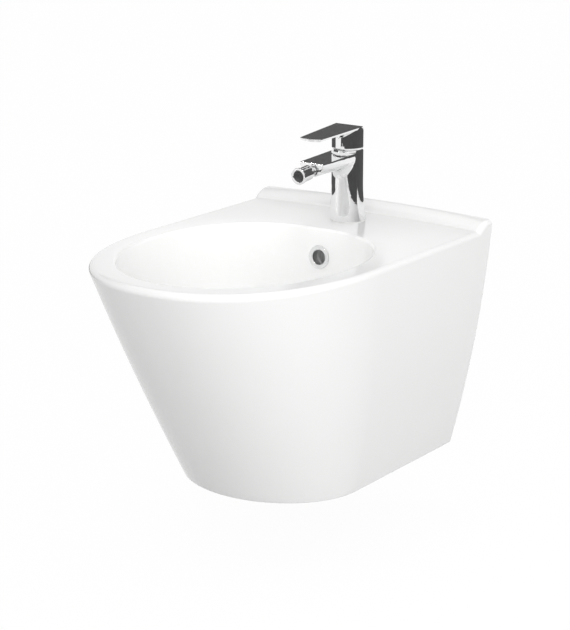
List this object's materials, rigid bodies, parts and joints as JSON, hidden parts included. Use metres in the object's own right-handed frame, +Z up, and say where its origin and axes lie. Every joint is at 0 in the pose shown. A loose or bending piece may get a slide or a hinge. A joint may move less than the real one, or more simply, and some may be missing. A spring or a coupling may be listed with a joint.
{
  "type": "wall-hung bidet",
  "caption": "Wall-hung ceramic bidet with an oval bowl, a single-lever mixer with a swivelling nozzle, an overflow and a click waste.",
  "frame": {"origin": "on the wall plane, midway between the two wall fixing holes", "axes": "+Z up, +Y into the wall, -Y to the front, +X to the right seen from the front"},
  "size_m": [0.362, 0.4992, 0.4328],
  "materials": {
    "glazed_china": "glazed vitreous china, opaque white",
    "plated_brass": "bright chrome plate on brass",
    "bare_brass": "machined",
    "steel": "zinc plated",
    "black_rubber": "matt",
    "white_plastic": "moulded",
    "dark_plastic": "moulded"
  },
  "bodies": {
    "bidet": {"ceramic_body": "glazed_china", "fixed_disc": "glazed_china", "overflow_ring": "plated_brass", "mixer_body": "plated_brass", "dome_cap": "plated_brass", "nozzle_stud": "plated_brass", "waste_body": "plated_brass", "mixer_nut": "bare_brass", "cartridge_nut": "bare_brass", "waste_backnut": "bare_brass", "waste_click_sleeve": "bare_brass", "fixing_washers": "steel", "fixing_nuts": "steel", "mixer_stud": "steel", "clamp_plate": "steel", "waste_spring": "steel", "clamp_seal": "black_rubber", "cartridge_seals": "black_rubber", "waste_upper_seal": "black_rubber", "waste_lower_seal": "black_rubber", "fixing_sleeves": "white_plastic", "mixer_base_seal": "white_plastic", "cartridge_base": "white_plastic", "cartridge_housing": "white_plastic"},
    "turret": {"rotor": "white_plastic", "pivot_pin": "steel"},
    "lever": {"lever_handle": "plated_brass", "lever_screw": "steel", "lever_plug": "plated_brass", "spindle": "steel"},
    "disc": {"moving_disc": "glazed_china", "disc_carrier": "white_plastic"},
    "nozzle_yoke": {"nozzle_slip_ring": "white_plastic"},
    "nozzle": {"nozzle_collar": "plated_brass", "nozzle_barrel": "plated_brass", "nozzle_seal": "black_rubber", "aerator_gasket": "black_rubber", "aerator_insert": "dark_plastic", "nozzle_end_ring": "plated_brass"},
    "plug": {"waste_plug": "plated_brass", "plug_seal": "black_rubber"}
  },
  "joints": [
    {"name": "temperature_swivel", "type": "hinge", "parent": "bidet", "child": "turret", "pos_m": [0, -0.0684, 0.186], "axis": [0, 0, 1], "range_deg": [-50, 50]},
    {"name": "flow_lift", "type": "hinge", "parent": "turret", "child": "lever", "pos_m": [0, -0.0684, 0.186], "axis": [-1, 0, 0], "range_deg": [0, 25]},
    {"name": "disc_slide", "type": "slide", "parent": "turret", "child": "disc", "axis": [0, -1, 0], "range_m": [0, 0.00466]},
    {"name": "nozzle_yaw", "type": "hinge", "parent": "bidet", "child": "nozzle_yoke", "pos_m": [0, -0.1616, 0.1848], "axis": [0, 0, 1], "range_deg": [-12, 12]},
    {"name": "nozzle_pitch", "type": "hinge", "parent": "nozzle_yoke", "child": "nozzle", "pos_m": [0, -0.1616, 0.1848], "axis": [-1, 0, 0], "range_deg": [-8, 16]},
    {"name": "plug_lift", "type": "slide", "parent": "bidet", "child": "plug", "axis": [0, 0, 1], "range_m": [0, 0.009], "deforming": ["waste_spring"]}
  ],
  "couplings": [
    {"joint": "disc_slide", "follows": "flow_lift", "m_per_rad": 0.010654}
  ]
}
